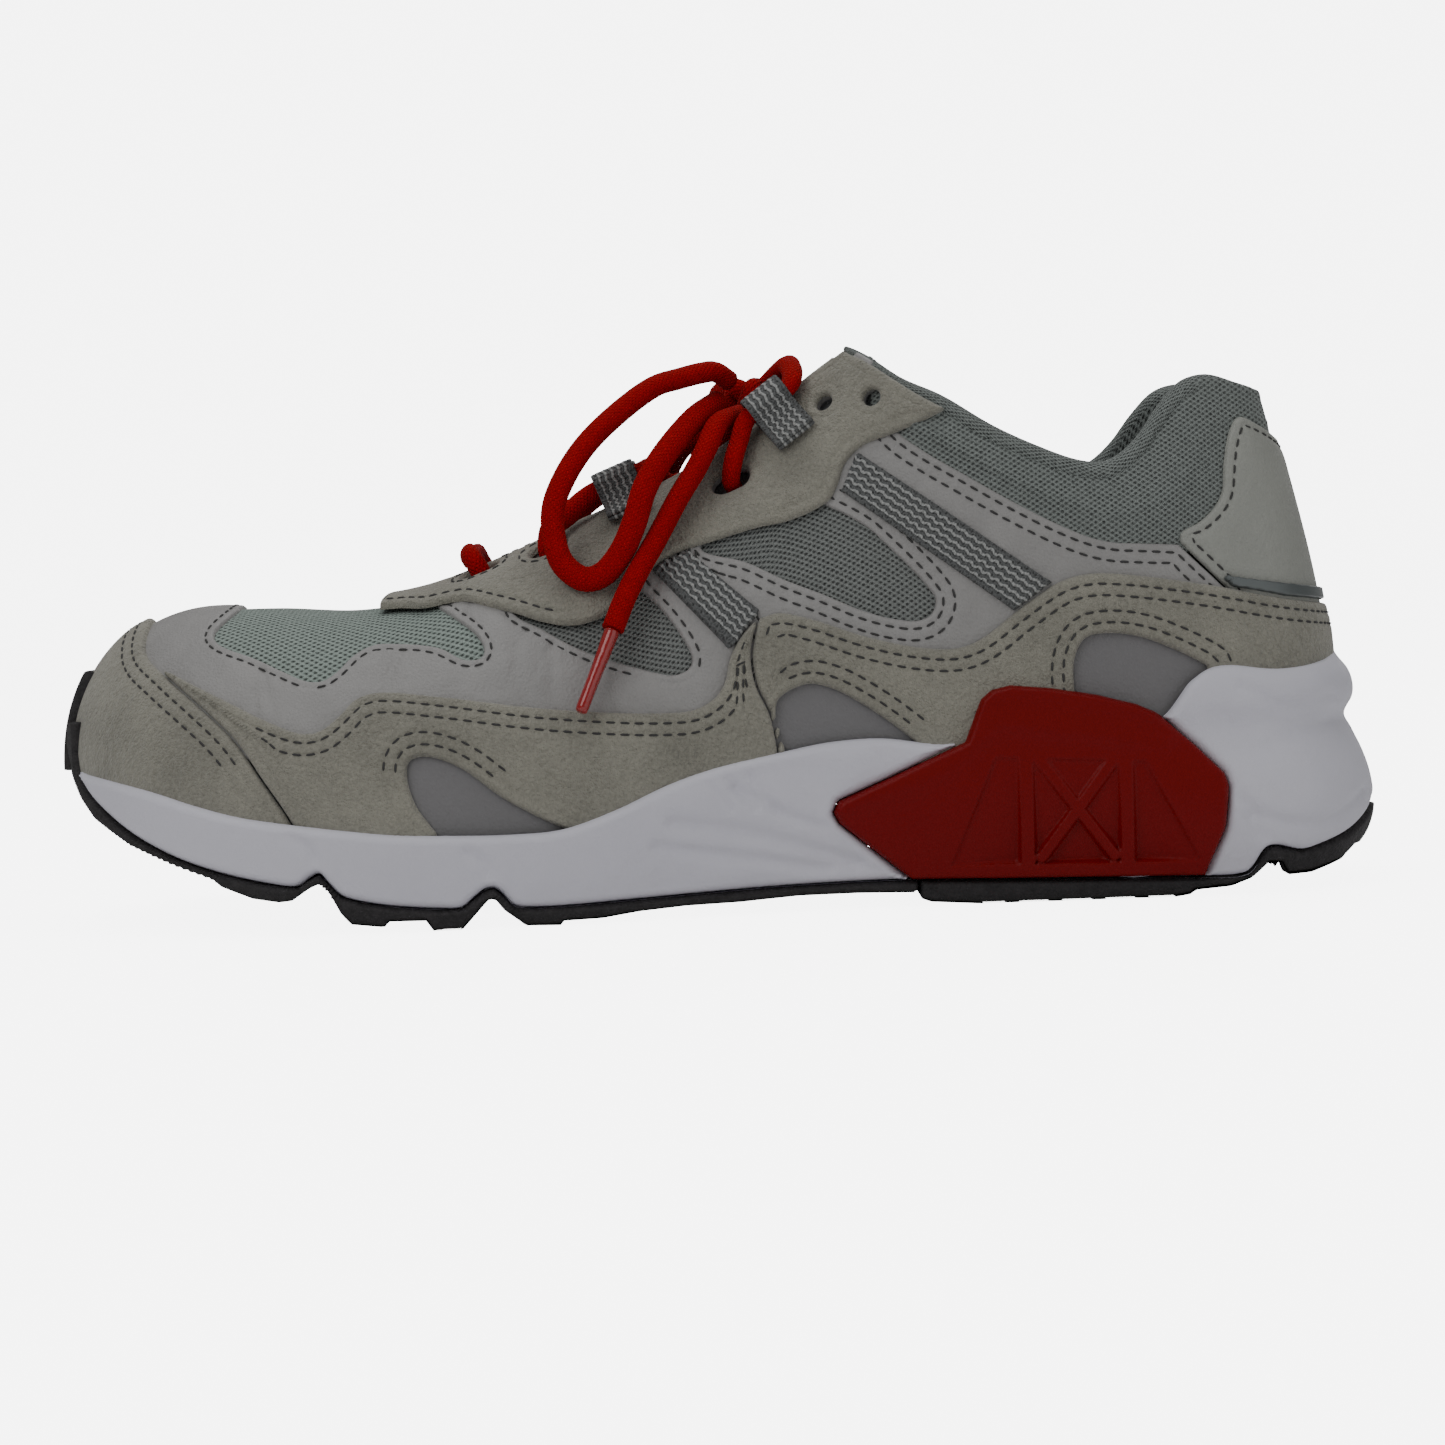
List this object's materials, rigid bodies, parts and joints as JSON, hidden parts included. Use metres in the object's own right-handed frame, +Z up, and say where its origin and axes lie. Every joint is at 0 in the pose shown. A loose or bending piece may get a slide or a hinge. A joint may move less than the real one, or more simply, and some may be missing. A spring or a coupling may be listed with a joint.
{
  "type": "bowling shoe",
  "caption": "Low lace-up shoe for the right foot in a running-trainer build: suede, leather and mesh upper, foam midsole, stabiliser clip and rubber outsole.",
  "frame": {"origin": "bottom centre of the shoe's box, on the floor it stands on, leaving out the free stretches of lace", "axes": "+Z up, -X towards the toe, -Y towards the medial side"},
  "size_m": [0.3017, 0.1135, 0.1256],
  "materials": {
    "suede": "napped suede with rolled edges",
    "smooth_leather": "smooth creased leather",
    "underlay_leather": "smooth matt synthetic leather",
    "heel_leather": "smooth leather",
    "toe_mesh": "open sandwich mesh",
    "collar_mesh": "fine knitted mesh",
    "lining_knit": "soft knit",
    "webbing": "woven webbing with pale wavy yarns",
    "lace_braid": "braided",
    "aglet_plastic": "gloss, slightly clear",
    "reflective_strip": "satin reflective film",
    "clip_plastic": "satin moulded plastic",
    "midsole_foam": "moulded foam skin",
    "outsole_rubber": "fine moulded grain",
    "padding": "open foam",
    "stiffener": "pressed fibre sheet",
    "insole_board": "strobel board"
  },
  "bodies": {
    "shoe": {"outsole_forefoot": "outsole_rubber", "outsole_heel": "outsole_rubber", "midsole": "midsole_foam", "stabiliser_clip": "clip_plastic", "insole_board": "insole_board", "sockliner": "lining_knit", "heel_counter": "stiffener", "toe_puff": "stiffener", "vamp_lining": "lining_knit", "heel_lining": "lining_knit", "collar_foam": "padding", "collar_mesh": "collar_mesh", "vamp_mesh": "toe_mesh", "knit_front_medial": "collar_mesh", "knit_front_lateral": "collar_mesh", "knit_rear_medial": "collar_mesh", "knit_rear_lateral": "collar_mesh", "vamp_leather": "smooth_leather", "quarter_medial": "smooth_leather", "quarter_lateral": "smooth_leather", "underlay_medial": "underlay_leather", "underlay_lateral": "underlay_leather", "heel_panel": "heel_leather", "heel_strip": "reflective_strip", "toe_cap": "suede", "mudguard_medial": "suede", "mudguard_lateral": "suede", "foxing": "suede", "eyestay": "suede", "strap_front_medial": "webbing", "strap_front_lateral": "webbing", "strap_rear_medial": "webbing", "strap_rear_lateral": "webbing", "lace_loop_lower_medial": "webbing", "lace_loop_lower_lateral": "webbing", "lace_loop_upper_medial": "webbing", "lace_loop_upper_lateral": "webbing", "lace": "lace_braid", "lace_knot": "lace_braid", "bow_loop_medial": "lace_braid", "bow_loop_lateral": "lace_braid", "lace_end_medial": "lace_braid", "lace_end_lateral": "lace_braid", "aglet_medial": "aglet_plastic", "aglet_lateral": "aglet_plastic"},
    "tongue": {"tongue_cover": "collar_mesh", "tongue_foam": "padding", "tongue_lining": "lining_knit"}
  },
  "joints": [
    {"name": "tongue_hinge", "type": "hinge", "parent": "shoe", "child": "tongue", "pos_m": [-0.055, 0, 0.063], "axis": [0, 1, 0], "range_deg": [0, 8], "stiffness_Nm_per_rad": 0.3, "springref_deg": -11.46}
  ]
}
